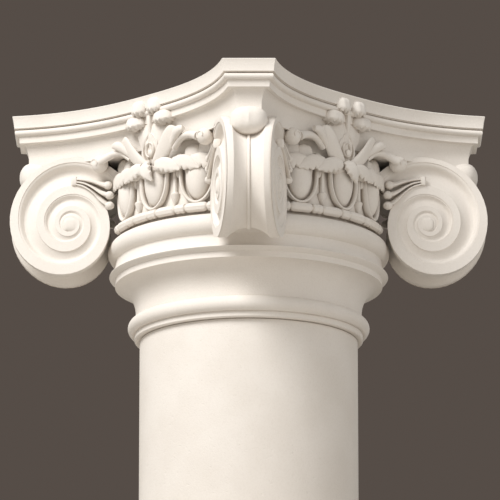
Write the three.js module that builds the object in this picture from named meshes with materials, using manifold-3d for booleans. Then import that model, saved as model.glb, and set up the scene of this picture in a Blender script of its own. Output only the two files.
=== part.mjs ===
// Angular Ionic capital with four alike faces, standing on the top length of its column shaft.
// Millimetres, +Z up. The origin is the middle of the shaft's underside. The sides of the abacus
// face along X and Y, and the four corner volutes stand on the diagonals.

import * as THREE from 'three';
import { mergeVertices } from 'three/addons/utils/BufferGeometryUtils.js';
import Module from 'manifold-3d';

const wasm = await Module();
wasm.setup();

// ---------------------------------------------------------------- driving sizes

const FACES = 4;
const DEGREE = Math.PI / 180;
const FACE_TURN = (2 * Math.PI) / FACES;
const CORNER_AZIMUTH = FACE_TURN / 2;

const shaft = { radius: 127, length: 223, sides: 28 };
const JOINT_GAP = 0.3;

// Levels above the origin.
const level = {
  foot: shaft.length + JOINT_GAP,
  filletTop: 230.5,
  astragal: 238.8,
  neck: 255,
  neckTop: 288.3,
  bandFoot: 295.2,
  bandLip: 299.3,
  torus: 328.2,
  rope: 349.1,
  bed: 438.8,
  top: 488.5,
};

// The turned body: how far each moulding stands from the axis.
const body = {
  sides: 28,
  fillet: 133.1,
  astragal: { ring: 131.5, bead: 9.4 },
  neck: 131.7,
  neckTop: 156.1,
  bandLip: 162.9,
  torus: { ring: 151.5, bead: 12.9 },
  bell: 149.8,
};

// The abacus in plan: each side bows inwards between two horns, and each horn is cut square
// across the diagonal.
const abacus = {
  middle: 169.7,
  bow: 47.5,
  bowPower: 2.6,
  hornAlong: 174.3,
  sideSteps: 6,
  skirtFoot: 396,
};
const hornCut = (abacus.hornAlong + abacus.middle + abacus.bow) / Math.SQRT2;

// Its mouldings from the top down, as [inset from the top edge, drop from the top].
const abacusSteps = {
  fascia: [2.3, 14.4],
  bead: [8, 22.6],
  fillet: [8.4, 31.1],
  hollow: { outer: 14, inner: 19.3, top: 31.1 },
};

// A corner volute, in its own upright plane: "out" runs along the diagonal away from the eye,
// "up" is +Z and "across" is the thickness.
const volute = {
  eyeOut: 209.4,
  eyeUp: 358,
  eyeRadius: 8.9,
  startRadius: 79.6,
  shrinkPerTurn: 0.54,
  halfThickness: 35.9,
  splay: 0.165,
  stepsPerTurn: 12,
  firstStep: -2,
  lastStep: 29,
  filletWidth: 9.4,
  filletFade: 18.7,
  channelDepth: 0.075,
  rim: { share: 0.62, depth: 11.3 },
};
const cap = { out: 249.2, up: 421, radial: 18.7, across: 19.9, tall: 17, squareness: 2.6 };

// The carved belt between the torus and the abacus, in degrees from the middle of a face.
const belt = { halfAngle: 31, pitch: 22.5 };
const rope = { ring: 155.6, radius: 5.85, pitch: 15, beadAngle: 9.4, discAngle: 4.4, gapAngle: 0.6 };
const egg = { ring: 147.4, deep: 15.2, halfWide: 16.2, halfTall: 31, level: 388.4 };
const husk = { ring: 152, halfWide: 21, drop: 33.3, thick: 5, deep: 13, topLevel: 402 };
const dart = { ring: 151.5, top: 400, collar: 369, tip: 355.5, stem: 6, wing: 10.5, deep: 8 };
const garland = {
  inner: 146,
  outer: 163.2,
  top: 408.5,
  bottom: 395,
  tongue: { drop: 9, halfAngle: 6 },
  scallop: { drop: 3.5, angle: 9 },
  step: 7.5,
};

// ---------------------------------------------------------------- helpers

const lerp = THREE.MathUtils.lerp;

// A point of the face that looks along +X, by its distance from the axis, along and level.
function onFace(outward, along, height) {
  return new THREE.Vector3(outward, along, height);
}

// A point by its angle from the middle of that face.
function around(degrees, radius, height) {
  const angle = degrees * DEGREE;
  return new THREE.Vector3(radius * Math.cos(angle), radius * Math.sin(angle), height);
}

// Merges shared corners, drops triangles without area and hands the mesh over as a solid.
function toSolid(geometry) {
  const bare = geometry.clone();
  bare.deleteAttribute('normal');
  bare.deleteAttribute('uv');
  const welded = mergeVertices(bare, 1e-3);
  const index = Array.from(welded.index.array);
  const triangles = [];
  for (let i = 0; i < index.length; i += 3) {
    const [a, b, c] = index.slice(i, i + 3);
    if (a !== b && b !== c && c !== a) triangles.push(a, b, c);
  }
  return new wasm.Manifold(
    new wasm.Mesh({
      numProp: 3,
      vertProperties: new Float32Array(welded.attributes.position.array),
      triVerts: new Uint32Array(triangles),
    }),
  );
}

function toGeometry(solid) {
  const mesh = solid.getMesh();
  const geometry = new THREE.BufferGeometry();
  geometry.setAttribute('position', new THREE.BufferAttribute(new Float32Array(mesh.vertProperties), 3));
  geometry.setIndex(new THREE.BufferAttribute(new Uint32Array(mesh.triVerts), 1));
  geometry.computeVertexNormals();
  return geometry;
}

function joined(solids) {
  return solids.reduce((sum, solid) => sum.add(solid));
}

// Six times the volume that the triangles enclose; negative where they face inwards.
function enclosed(points, index) {
  let sum = 0;
  for (let i = 0; i < index.length; i += 3) {
    const [a, b, c] = index.slice(i, i + 3).map((corner) => points[corner]);
    sum += new THREE.Vector3().crossVectors(a, b).dot(c);
  }
  return sum;
}

// Fills a ring of points, seen in the plane that flatten gives, in the ring's own sense.
function fill(ring, flatten) {
  const flat = ring.map(flatten);
  const sense = Math.sign(THREE.ShapeUtils.area(flat));
  return THREE.ShapeUtils.triangulateShape(flat, []).map(([a, b, c]) => {
    const same = Math.sign(THREE.ShapeUtils.area([flat[a], flat[b], flat[c]])) === sense;
    return same ? [a, b, c] : [a, c, b];
  });
}

// Skins a row of rings with equal counts of points and fills the first and last ring.
function loft(rings, flattenFirst, flattenLast = flattenFirst) {
  const count = rings[0].length;
  const points = rings.flat();
  const index = [];
  for (let ring = 0; ring + 1 < rings.length; ring += 1) {
    for (let i = 0; i < count; i += 1) {
      const here = ring * count + i;
      const next = ring * count + ((i + 1) % count);
      index.push(here, next, next + count, here, next + count, here + count);
    }
  }
  const last = (rings.length - 1) * count;
  fill(rings[0], flattenFirst).forEach(([a, b, c]) => index.push(a, c, b));
  fill(rings.at(-1), flattenLast).forEach(([a, b, c]) => index.push(last + a, last + b, last + c));
  if (enclosed(points, index) < 0) index.reverse();
  const geometry = new THREE.BufferGeometry().setFromPoints(points);
  geometry.setIndex(index);
  return geometry;
}

// A stem, leaf or lobe: an oval section swept along a curve. The section is as wide as width(t)
// along "across" and as deep as depth(t) square to it. Without "across" the width lies flat
// against the bell.
function limb({ path, width, depth, steps, sides = 6, across = null }) {
  const curve = new THREE.CatmullRomCurve3(path);
  const frameAt = (t) => {
    const centre = curve.getPoint(t);
    const forward = curve.getTangent(t);
    const outward = new THREE.Vector3(centre.x, centre.y, 0).normalize();
    const side = across ? across.clone() : new THREE.Vector3().crossVectors(forward, outward);
    side.normalize();
    return { centre, side, lift: new THREE.Vector3().crossVectors(side, forward).normalize() };
  };
  const rings = [];
  for (let step = 0; step <= steps; step += 1) {
    const t = step / steps;
    const { centre, side, lift } = frameAt(t);
    const ring = [];
    for (let i = 0; i < sides; i += 1) {
      const angle = Math.PI / 2 + (2 * Math.PI * i) / sides;
      const reach = side.clone().multiplyScalar((width(t) / 2) * Math.cos(angle));
      const rise = lift.clone().multiplyScalar((depth(t) / 2) * Math.sin(angle));
      ring.push(centre.clone().add(reach).add(rise));
    }
    rings.push(ring);
  }
  const flattenAt = (t) => {
    const { side, lift } = frameAt(t);
    return (point) => new THREE.Vector2(point.dot(side), point.dot(lift));
  };
  return loft(rings, flattenAt(0), flattenAt(1));
}

// Runs through a list of values at even spacing, with straight stretches between them.
function through(values) {
  return (t) => {
    const place = t * (values.length - 1);
    const before = Math.min(Math.floor(place), values.length - 2);
    return lerp(values[before], values[before + 1], place - before);
  };
}

// A ball, egg or boss: a sphere with its own half-size each way, and flatter sides when its
// squareness is over 2.
function knob(centre, halfSizes, columns, rows, squareness = 2) {
  const geometry = new THREE.SphereGeometry(1, columns, rows);
  const place = geometry.attributes.position;
  const point = new THREE.Vector3();
  for (let i = 0; i < place.count; i += 1) {
    point.fromBufferAttribute(place, i);
    const sum = point.toArray().reduce((total, value) => total + Math.abs(value) ** squareness, 0);
    point.multiplyScalar(sum ** (-1 / squareness));
    place.setXYZ(i, point.x, -point.z, point.y);
  }
  geometry.scale(...halfSizes);
  geometry.translate(...centre.toArray());
  return geometry;
}

// Points of an arc as [radius, level], from one angle to another in degrees.
function arc(radius, height, halfRadial, halfTall, from, to, steps) {
  const points = [];
  for (let step = 0; step <= steps; step += 1) {
    const angle = lerp(from, to, step / steps) * DEGREE;
    points.push([radius + halfRadial * Math.cos(angle), height + halfTall * Math.sin(angle)]);
  }
  return points;
}

// ---------------------------------------------------------------- turned body and shaft

function turned(profile, sides) {
  const closed = [[0, profile[0][1]], ...profile, [0, profile.at(-1)[1]]];
  const geometry = new THREE.LatheGeometry(closed.map(([r, z]) => new THREE.Vector2(r, z)), sides);
  return geometry.rotateX(Math.PI / 2);
}

function makeBody() {
  const { astragal, torus } = body;
  const hollowHeight = level.neckTop - level.neck;
  const hollowReach = body.neckTop - body.neck;
  return turned(
    [
      [body.fillet, level.foot],
      [body.fillet, level.filletTop],
      ...arc(astragal.ring, level.astragal, astragal.bead, astragal.bead, -62, 90, 3),
      ...arc(body.neckTop, level.neck, hollowReach, hollowHeight, 180, 92, 3),
      [body.neckTop, level.neckTop],
      [body.neckTop, level.bandFoot],
      [body.bandLip, level.bandLip],
      ...arc(torus.ring, level.torus, torus.bead, torus.bead, -68, 90, 3),
      [body.bell, level.rope],
      [body.bell, level.bed],
    ],
    body.sides,
  );
}

function makeShaft() {
  return turned([[shaft.radius, 0], [shaft.radius, shaft.length]], shaft.sides);
}

// ---------------------------------------------------------------- abacus

// One side of the abacus, inset evenly, as points from horn to horn for the face along +X.
function abacusSide(inset) {
  const { middle, bow, bowPower, hornAlong, sideSteps } = abacus;
  const offsetAt = (along) => {
    const ratio = Math.abs(along) / hornAlong;
    const slope = ((bow * bowPower) / hornAlong) * ratio ** (bowPower - 1) * Math.sign(along);
    const normal = new THREE.Vector2(1, -slope).normalize();
    return new THREE.Vector2(middle + bow * ratio ** bowPower, along).addScaledVector(normal, -inset);
  };
  let near = 0;
  let far = hornAlong;
  for (let round = 0; round < 40; round += 1) {
    const half = (near + far) / 2;
    const point = offsetAt(half);
    if ((point.x + point.y) / Math.SQRT2 < hornCut - inset) near = half;
    else far = half;
  }
  const points = [];
  for (let step = 0; step <= sideSteps; step += 1) {
    points.push(offsetAt(lerp(-near, near, step / sideSteps)));
  }
  return points;
}

function abacusRing(inset, height) {
  const centre = new THREE.Vector2();
  const ring = [];
  for (let face = 0; face < FACES; face += 1) {
    abacusSide(inset).forEach((point) => {
      const turnedPoint = point.rotateAround(centre, face * FACE_TURN);
      ring.push(new THREE.Vector3(turnedPoint.x, turnedPoint.y, height));
    });
  }
  return ring;
}

function makeAbacus() {
  const { fascia, bead, fillet, hollow } = abacusSteps;
  const hollowDrop = level.top - level.bed;
  const steps = [
    [0, 0],
    fascia,
    bead,
    fillet,
    [hollow.outer, hollow.top],
    [lerp(hollow.outer, hollow.inner, 0.6), lerp(hollow.top, hollowDrop, 0.35)],
    [hollow.inner, hollowDrop],
    [hollow.inner, level.top - abacus.skirtFoot],
  ];
  const plan = (point) => new THREE.Vector2(point.x, point.y);
  return loft(steps.map(([inset, drop]) => abacusRing(inset, level.top - drop)), plan);
}

// ---------------------------------------------------------------- corner volute

// How far the spiral's outer edge is from the eye after a number of turns from the top.
function spiralRadius(turns) {
  return volute.startRadius * volute.shrinkPerTurn ** turns;
}

function faceHalfThickness(out) {
  return volute.halfThickness - volute.splay * out;
}

// A point of the volute by its turn and distance from the eye, lifted off the face.
function onVolute(turns, radius, lift, side) {
  const angle = 2 * Math.PI * turns;
  const out = radius * Math.sin(angle);
  const across = side * (faceHalfThickness(out) + lift);
  return new THREE.Vector3(volute.eyeOut + out, across, volute.eyeUp + radius * Math.cos(angle));
}

// One row across the strip that winds in to the eye: the fillet's outer and inner edge, and the
// deepest line of the hollow beside it. The strip ends at the next turn's outer edge.
function spiralRow(step, side) {
  const { stepsPerTurn, lastStep, filletWidth, filletFade, channelDepth } = volute;
  const turns = step / stepsPerTurn;
  const outer = spiralRadius(turns);
  const edge = outer - filletWidth * (1 - Math.exp(-outer / filletFade));
  const inner = spiralRadius(turns + 1);
  const stepsLeft = lastStep - stepsPerTurn - step;
  const depth = outer * channelDepth * Math.min(1, stepsLeft / 3);
  return {
    outer: onVolute(turns, outer, 0, side),
    edge: onVolute(turns, edge, 0, side),
    deepest: onVolute(turns, lerp(edge, inner, 0.35), -depth, side),
  };
}

// The scrolled face: the raised fillet, the hollow between its turns and the level middle.
function voluteFace(side) {
  const { stepsPerTurn, firstStep, lastStep } = volute;
  const hollowEnd = lastStep - stepsPerTurn;
  const row = (step) => spiralRow(step, side);
  const corners = [];
  const addQuad = (a, b, c, d) => corners.push(a, b, c, a, c, d);
  for (let step = firstStep; step < hollowEnd; step += 1) {
    const here = row(step);
    const next = row(step + 1);
    addQuad(here.outer, next.outer, next.edge, here.edge);
    addQuad(here.edge, next.edge, next.deepest, here.deepest);
    addQuad(here.deepest, next.deepest, row(step + 1 + stepsPerTurn).outer, row(step + stepsPerTurn).outer);
  }
  const middle = [];
  for (let step = hollowEnd; step <= lastStep; step += 1) middle.push(row(step).outer);
  middle.push(row(hollowEnd).deepest, row(hollowEnd).edge);
  fill(middle, (point) => new THREE.Vector2(point.x, point.z)).forEach((triangle) => {
    triangle.forEach((corner) => corners.push(middle[corner]));
  });
  return side > 0 ? corners : corners.reverse();
}

// The edge of the slab between the two faces: a wide hollow between two level rims.
function voluteRim() {
  const { stepsPerTurn, firstStep } = volute;
  const { share, depth } = volute.rim;
  const columns = [
    [1, 0],
    [share, 0],
    [share * 0.4, depth],
  ];
  const ringAt = (side, fraction, inset) => {
    const start = spiralRow(firstStep, side);
    const ring = [];
    for (let step = 0; step <= stepsPerTurn; step += 1) {
      const turns = (firstStep + step) / stepsPerTurn;
      ring.push(onVolute(turns, spiralRadius(turns) - inset, 0, side));
    }
    ring.push(start.deepest, start.edge);
    ring.forEach((point) => point.setY(point.y * fraction));
    return ring;
  };
  const rings = [
    ...columns.map(([fraction, inset]) => ringAt(1, fraction, inset)),
    ...columns.reverse().map(([fraction, inset]) => ringAt(-1, fraction, inset)),
  ];
  const corners = [];
  for (let column = 0; column + 1 < rings.length; column += 1) {
    rings[column].forEach((here, i) => {
      const next = (i + 1) % rings[column].length;
      const [below, belowNext] = [rings[column + 1][i], rings[column + 1][next]];
      corners.push(here, below, belowNext, here, belowNext, rings[column][next]);
    });
  }
  return corners;
}

function voluteSlab() {
  return new THREE.BufferGeometry().setFromPoints([...voluteFace(1), ...voluteFace(-1), ...voluteRim()]);
}

function voluteEye(side) {
  const centre = onVolute(0, 0, -1, side);
  return knob(centre, [volute.eyeRadius, 3, volute.eyeRadius], 6, 3, 2.6);
}

// Three ribbon stems that leave a small tie on the face and end in buds over the nearest egg.
function voluteStems(side) {
  const tie = { turns: -0.016, radius: 50.4 };
  const ends = [
    { out: -42.5, up: 46, bend: 51 },
    { out: -46, up: 35, bend: 44 },
    { out: -46.7, up: 20, bend: 37 },
  ];
  const place = (out, up, lift) => {
    const across = side * (faceHalfThickness(out) + lift);
    return new THREE.Vector3(volute.eyeOut + out, across, volute.eyeUp + up);
  };
  const tieUp = tie.radius;
  const stems = ends.map(({ out, up, bend }, order) => {
    const path = [
      place(-3, tieUp + 2.5 - 2.5 * order, 1),
      place(-18, lerp(tieUp, bend, 0.55) + 1 - 2.5 * order, 1.2),
      place(lerp(-18, out, 0.6), lerp(bend, up, 0.55), 1.6),
      place(out, up, 2.5),
    ];
    const across = new THREE.Vector3(0.45, 0, 0.9);
    return limb({
      path,
      width: through([3.6, 3.8, 4.2, 6.4, 8.6, 6]),
      depth: through([4, 4, 4.5, 6, 8, 5]),
      steps: 2,
      sides: 3,
      across,
    });
  });
  return stems;
}

// The boss over the top of the volute, with a raised line down its middle.
function voluteCap() {
  const centre = new THREE.Vector3(cap.out, 0, cap.up);
  return knob(centre, [cap.radial, cap.across, cap.tall], 8, 4, cap.squareness);
}

function makeVolute() {
  const carving = [1, -1].flatMap((side) => [voluteEye(side), ...voluteStems(side)]);
  return joined([voluteSlab(), ...carving, voluteCap()].map(toSolid));
}

// ---------------------------------------------------------------- carved belt of a face

// A string of long beads with a disc between each two.
function makeRope() {
  const { ring, radius, beadAngle, discAngle, gapAngle } = rope;
  const link = (from, to) => {
    const rings = [from, to].map((degrees) => [
      around(degrees, body.bell - 3, level.rope - radius),
      around(degrees, ring + 0.9 * radius, level.rope),
      around(degrees, body.bell - 3, level.rope + radius),
    ]);
    return loft(rings, (point) => new THREE.Vector2(Math.hypot(point.x, point.y), point.z));
  };
  const links = [];
  for (let middle = -2 * rope.pitch; middle <= 2 * rope.pitch; middle += rope.pitch) {
    links.push(link(middle - discAngle / 2, middle + discAngle / 2));
    if (middle < 2 * rope.pitch) {
      const start = middle + discAngle / 2 + gapAngle;
      links.push(link(start, start + beadAngle));
    }
  }
  return links;
}

function makeEgg(degrees) {
  const geometry = knob(new THREE.Vector3(), [egg.deep, egg.halfWide, egg.halfTall], 6, 4);
  geometry.translate(egg.ring, 0, egg.level);
  return geometry.rotateZ(degrees * DEGREE);
}

// The husk that holds an egg: a rim that comes down one side, round below and up the other.
function makeHusk(degrees) {
  const path = [];
  for (let turn = -90; turn <= 90; turn += 30) {
    const along = husk.halfWide * Math.sin(turn * DEGREE);
    const height = egg.level - husk.drop * Math.cos(turn * DEGREE);
    path.push(onFace(husk.ring - 0.1 * Math.abs(along), along, height));
  }
  path.unshift(onFace(husk.ring - 3, -husk.halfWide, husk.topLevel));
  path.push(onFace(husk.ring - 3, husk.halfWide, husk.topLevel));
  const geometry = limb({
    path,
    width: () => husk.thick,
    depth: () => husk.deep,
    steps: 5,
    sides: 3,
  });
  return geometry.rotateZ(degrees * DEGREE);
}

function makeDart(degrees) {
  const { ring, top, collar, tip, stem, wing, deep } = dart;
  const levels = [
    [top, stem],
    [collar, wing],
    [tip, stem * 0.3],
  ];
  const rings = levels.map(([height, wide]) => [
    onFace(ring - deep, 0, height),
    onFace(ring, -wide / 2, height),
    onFace(ring + deep * 0.75, 0, height),
    onFace(ring, wide / 2, height),
  ]);
  return loft(rings, (point) => new THREE.Vector2(point.x, point.y)).rotateZ(degrees * DEGREE);
}

// The leaves that lie along over the tops of the eggs: scalloped below, with a middle tongue.
function makeGarland() {
  const { inner, outer, top, bottom, tongue, scallop, step } = garland;
  const rings = [];
  for (let degrees = -belt.halfAngle + 1; degrees <= belt.halfAngle - 1; degrees += step) {
    const nearMiddle = Math.max(0, 1 - Math.abs(degrees) / tongue.halfAngle);
    const wave = Math.abs(Math.sin((degrees / scallop.angle) * Math.PI));
    const foot = bottom - tongue.drop * nearMiddle - scallop.drop * wave * (1 - nearMiddle);
    const rise = 2.5 * (Math.abs(degrees) / belt.halfAngle) ** 2;
    const middle = lerp(foot, top, 0.45);
    rings.push([
      around(degrees, inner, top + rise),
      around(degrees, outer - 4, top + rise),
      around(degrees, outer, middle),
      around(degrees, outer - 1, foot),
      around(degrees, inner, foot),
    ]);
  }
  const flatten = (point) => new THREE.Vector2(Math.hypot(point.x, point.y), point.z);
  return loft(rings, flatten);
}

// ---------------------------------------------------------------- fleuron and side leaves

const faceAlong = new THREE.Vector3(0, 1, 0);

function makeTrunk() {
  return limb({
    path: [onFace(153, 0, 404), onFace(155, 0, 430), onFace(153, 0, 452), onFace(153, 0, 470)],
    width: through([25, 27, 38, 50, 40]),
    depth: through([14, 15, 15, 17, 16]),
    steps: 3,
    sides: 6,
    across: faceAlong,
  });
}

// A lobe of the fleuron: it rises from the trunk, rolls outwards over the mouldings and hangs.
function makeLobe(side, along, height, wide) {
  const path = [
    onFace(157, side * along * 0.85, height - 19),
    onFace(171, side * along, height - 2),
    onFace(175, side * along, height - 15),
  ];
  return limb({
    path,
    width: through([wide * 0.7, wide, wide * 0.7]),
    depth: through([8, 10, 5]),
    steps: 2,
    sides: 4,
    across: faceAlong,
  });
}

// The side leaf: it rises from the fleuron's foot, rolls over and ends in a ball on the shoulder
// of the volute.
function makeSideLeaf(side) {
  return limb({
    path: [
      onFace(152, side * 6, 406),
      onFace(159, side * 26, 420),
      onFace(161, side * 46, 434),
      onFace(161, side * 64, 440),
      onFace(159, side * 80, 433),
      onFace(157, side * 94, 421),
    ],
    width: through([16, 18, 20, 19, 14, 9, 17, 8]),
    depth: through([12, 11, 10, 10, 9, 9, 17, 8]),
    steps: 6,
    sides: 4,
  });
}

// ---------------------------------------------------------------- putting it together

function makeFace() {
  const eggAngles = [-belt.pitch, 0, belt.pitch];
  const dartAngles = [-belt.pitch / 2, belt.pitch / 2];
  const carving = [
    ...makeRope(),
    ...eggAngles.flatMap((degrees) => [makeEgg(degrees), makeHusk(degrees)]),
    ...dartAngles.map(makeDart),
    makeGarland(),
    makeTrunk(),
    ...[-1, 1].flatMap((side) => [
      makeLobe(side, 12, 482, 15),
      makeLobe(side, 24, 466, 16),
      makeSideLeaf(side),
    ]),
  ];
  return joined(carving.map(toSolid));
}

function makeCapital() {
  const corner = toGeometry(makeVolute()).rotateZ(CORNER_AZIMUTH);
  const quarter = toGeometry(makeFace().add(toSolid(corner)));
  const quarters = [];
  for (let face = 0; face < FACES; face += 1) {
    quarters.push(toSolid(quarter.clone().rotateZ(face * FACE_TURN)));
  }
  return toGeometry(joined([toSolid(makeBody()), toSolid(makeAbacus()), ...quarters]));
}

function named(name, geometry, color) {
  const material = new THREE.MeshStandardMaterial({ color, roughness: 0.75, metalness: 0 });
  const mesh = new THREE.Mesh(geometry, material);
  mesh.name = name;
  return mesh;
}

const column = new THREE.Group();
column.add(named('capital', makeCapital(), 0xe6dfd4));
column.add(named('shaft', makeShaft(), 0xe3dcd1));

export default column;
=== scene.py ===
# %% [markdown]
# # An angular Ionic capital
#
# A capital is the stone head of a column. This one is the angular kind: four alike faces,
# a scroll on each corner and a thin slab, the abacus, on top. Here the looks are made around
# a fixed construction model, which gives every size. The file first loads that model, and
# each later cell makes one form of the carving or one part of the picture.

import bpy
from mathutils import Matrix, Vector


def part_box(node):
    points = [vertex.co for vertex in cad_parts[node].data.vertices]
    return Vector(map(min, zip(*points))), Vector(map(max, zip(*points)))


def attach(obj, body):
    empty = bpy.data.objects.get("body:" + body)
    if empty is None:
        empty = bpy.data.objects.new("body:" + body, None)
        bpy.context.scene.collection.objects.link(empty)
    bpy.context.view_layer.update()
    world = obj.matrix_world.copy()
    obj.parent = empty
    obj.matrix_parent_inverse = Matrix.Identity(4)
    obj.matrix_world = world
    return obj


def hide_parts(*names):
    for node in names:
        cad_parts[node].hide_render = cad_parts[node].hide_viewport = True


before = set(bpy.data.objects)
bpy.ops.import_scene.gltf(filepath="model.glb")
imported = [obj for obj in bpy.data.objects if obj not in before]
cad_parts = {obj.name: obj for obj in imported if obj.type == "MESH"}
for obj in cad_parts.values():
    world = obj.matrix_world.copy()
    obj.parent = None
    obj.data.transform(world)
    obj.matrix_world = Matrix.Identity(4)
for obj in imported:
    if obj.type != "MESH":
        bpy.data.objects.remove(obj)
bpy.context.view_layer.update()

# %% [markdown]
# ## Units and levels
#
# A mason sets a capital out from a few levels above its foot. They are kept here in
# millimetres, because a carved moulding is a few millimetres wide, and turned to metres
# only when a mesh is made. The top and the shaft are read from the fixed model.

# %% Levels and main radii
import math

import bpy
import numpy as np

MM = 0.001
FACES = 4
FACE_TURN = 360 / FACES
CORNER_AZIMUTH = FACE_TURN / 2

shaft_low, shaft_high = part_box("shaft")
capital_low, capital_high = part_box("capital")
SHAFT_RADIUS = shaft_high.x / MM
SHAFT_LENGTH = shaft_high.z / MM
FOOT = capital_low.z / MM
TOP = capital_high.z / MM

LEVEL = {
    "fillet_top": 230.5,
    "astragal": 238.8,
    "neck": 255.0,
    "neck_top": 288.3,
    "band_foot": 295.2,
    "band_lip": 299.3,
    "torus": 328.2,
    "rope": 349.1,
    "bed": 438.8,
}
BELL = 149.8
print(f"the shaft is {SHAFT_LENGTH:.0f} mm long and the capital is {TOP - FOOT:.1f} mm tall")

# %% [markdown]
# ## Skins from rings
#
# Nearly every form here can be drawn as a row of rings: the circles of a turned moulding,
# the outlines of a slab at rising levels, the sections of a leaf. A skin joins each ring to
# the next with four-sided faces and closes the two ends, which gives a closed mesh that can
# be joined to others. Modelling by hand would be freer, but rings keep every form tied to
# its named sizes.

# %% Skin a row of rings
def enclosed_volume(points, faces):
    """Volume inside the faces, negative where they look inwards."""
    total = 0.0
    for face in faces:
        corners = points[list(face)]
        fans = np.cross(corners[1:-1], corners[2:])
        total += float(fans @ corners[0] @ np.ones(len(fans))) if len(fans) else 0.0
    return total / 6


def facing_out(points, faces):
    if enclosed_volume(points, faces) < 0:
        faces = [face[::-1] for face in faces]
    return points, faces


def skin(rings):
    """A closed mesh from rings of points, as an array of rows, columns and x, y, z."""
    rings = np.asarray(rings, float)
    rows, columns = rings.shape[:2]
    faces = []
    for row in range(rows - 1):
        for column in range(columns):
            here = row * columns + column
            beside = row * columns + (column + 1) % columns
            faces.append((here, beside, beside + columns, here + columns))
    last = (rows - 1) * columns
    faces.append(tuple(range(columns))[::-1])
    faces.append(tuple(range(last, last + columns)))
    return facing_out(rings.reshape(-1, 3), faces)

# %% [markdown]
# ## Turning a mesh about the axis
#
# A leaf is made once, on the face that looks along +X. Its copies on the other faces are
# the same mesh turned about the upright axis.

# %% Turn a mesh
def turned_about_axis(solid, degrees):
    points, faces = solid
    angle = math.radians(degrees)
    turn = np.array([
        [math.cos(angle), math.sin(angle), 0],
        [-math.sin(angle), math.cos(angle), 0],
        [0, 0, 1],
    ])
    return points @ turn, faces


def around(degrees, radius, height):
    """A point by its angle from the middle of the +X face."""
    angle = np.radians(degrees)
    return np.stack(np.broadcast_arrays(radius * np.cos(angle), radius * np.sin(angle), height), -1)

# %% [markdown]
# ## The turned body
#
# Below the carving the capital is a body of turned mouldings. From the foot up these are a
# small fillet, a half-round bead called an astragal, a wide hollow that sweeps out, a
# projecting band, a bulging torus and the upright bell that carries the eggs. A lathe
# profile is the natural way: each moulding is an arc from its own centre.

# %% Profile of the body
BODY_SIDES = 120
FILLET = 133.1
ASTRAGAL_RING, ASTRAGAL_BEAD = 131.5, 9.4
NECK_RADIUS, NECK_TOP_RADIUS = 131.7, 156.1
BAND_LIP_RADIUS = 162.9
TORUS_RING, TORUS_BEAD = 151.5, 12.9


def arc(radius, height, half_radial, half_tall, start, end, steps):
    angle = np.radians(np.linspace(start, end, steps + 1))
    return np.stack([radius + half_radial * np.cos(angle), height + half_tall * np.sin(angle)], -1)


def turned(profile, sides):
    """A solid of revolution from (radius, level) points."""
    angles = np.arange(sides) * 360 / sides
    return skin([around(angles, radius, height) for radius, height in profile])


def body():
    band = arc(BAND_LIP_RADIUS + 1.5, LEVEL["band_lip"] + 17, 8.2, 16.2, 258, 186, 6)
    profile = np.vstack([
        [(FILLET - 1.2, FOOT), (FILLET, FOOT + 1.2), (FILLET, LEVEL["fillet_top"])],
        arc(ASTRAGAL_RING, LEVEL["astragal"], ASTRAGAL_BEAD, ASTRAGAL_BEAD, -62, 90, 12),
        arc(NECK_TOP_RADIUS, LEVEL["neck"], NECK_TOP_RADIUS - NECK_RADIUS,
            LEVEL["neck_top"] - LEVEL["neck"], 180, 92, 14),
        [(NECK_TOP_RADIUS, LEVEL["neck_top"]), (NECK_TOP_RADIUS, LEVEL["band_foot"])],
        [(BAND_LIP_RADIUS - 0.8, LEVEL["band_lip"] - 0.6), (BAND_LIP_RADIUS, LEVEL["band_lip"] + 0.6)],
        band,
        arc(TORUS_RING, LEVEL["torus"], TORUS_BEAD, TORUS_BEAD, -68, 90, 14),
        [(BELL, LEVEL["rope"]), (BELL, LEVEL["bed"])],
    ])
    return turned(profile, BODY_SIDES)


print(f"the body widens from {FILLET} mm at the fillet to {TORUS_RING + TORUS_BEAD:.1f} mm at the torus")

# %% [markdown]
# ## The abacus
#
# In plan each side of the abacus bows inwards between two horns, and each horn is cut
# square across the corner. The mouldings keep an even distance from the top edge all
# round, as if a cutter had run along it, so each ring is the top outline pushed in along
# its own normal and then cut again at the corner.

# %% Outline of the abacus
ABACUS_MIDDLE = 169.7
ABACUS_BOW = 47.5
BOW_POWER = 2.6
HORN_ALONG = 174.3
HORN_CUT = (HORN_ALONG + ABACUS_MIDDLE + ABACUS_BOW) / math.sqrt(2)
SIDE_STEPS = 36


def bowed_side(along, inset=0.0):
    """Points of the +X side of the abacus as (outward, along)."""
    ratio = np.abs(along) / HORN_ALONG
    slope = ABACUS_BOW * BOW_POWER / HORN_ALONG * ratio ** (BOW_POWER - 1) * np.sign(along)
    length = np.sqrt(1 + slope ** 2)
    outward = ABACUS_MIDDLE + ABACUS_BOW * ratio ** BOW_POWER - inset / length
    return outward, along + inset * slope / length


def abacus_side(inset):
    near, far = 0.0, HORN_ALONG
    for _ in range(40):
        half = (near + far) / 2
        outward, along = bowed_side(np.array([half]), inset)
        if (outward[0] + along[0]) / math.sqrt(2) < HORN_CUT - inset:
            near = half
        else:
            far = half
    return np.stack(bowed_side(np.linspace(-near, near, SIDE_STEPS + 1), inset), -1)


def abacus_ring(inset, drop):
    side = abacus_side(inset)
    flat = np.column_stack([side, np.full(len(side), TOP - drop)])
    return np.vstack([turned_about_axis((flat, None), face * FACE_TURN)[0] for face in range(FACES)])

# %% [markdown]
# ## Mouldings of the abacus
#
# The mouldings of the abacus, from the top down, are a slightly hollowed face, a thin
# quirk, a small bead, an upright fillet and a wide hollow that leads down to the wall
# behind the leaves. Each pair below is the inset from the top edge and the drop from the
# top.

# %% Mouldings of the abacus
HOLLOW_TOP, HOLLOW_BREAK = 31.1, 14
HOLLOW_INSET = 19.3
SKIRT_FOOT = 431


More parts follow.
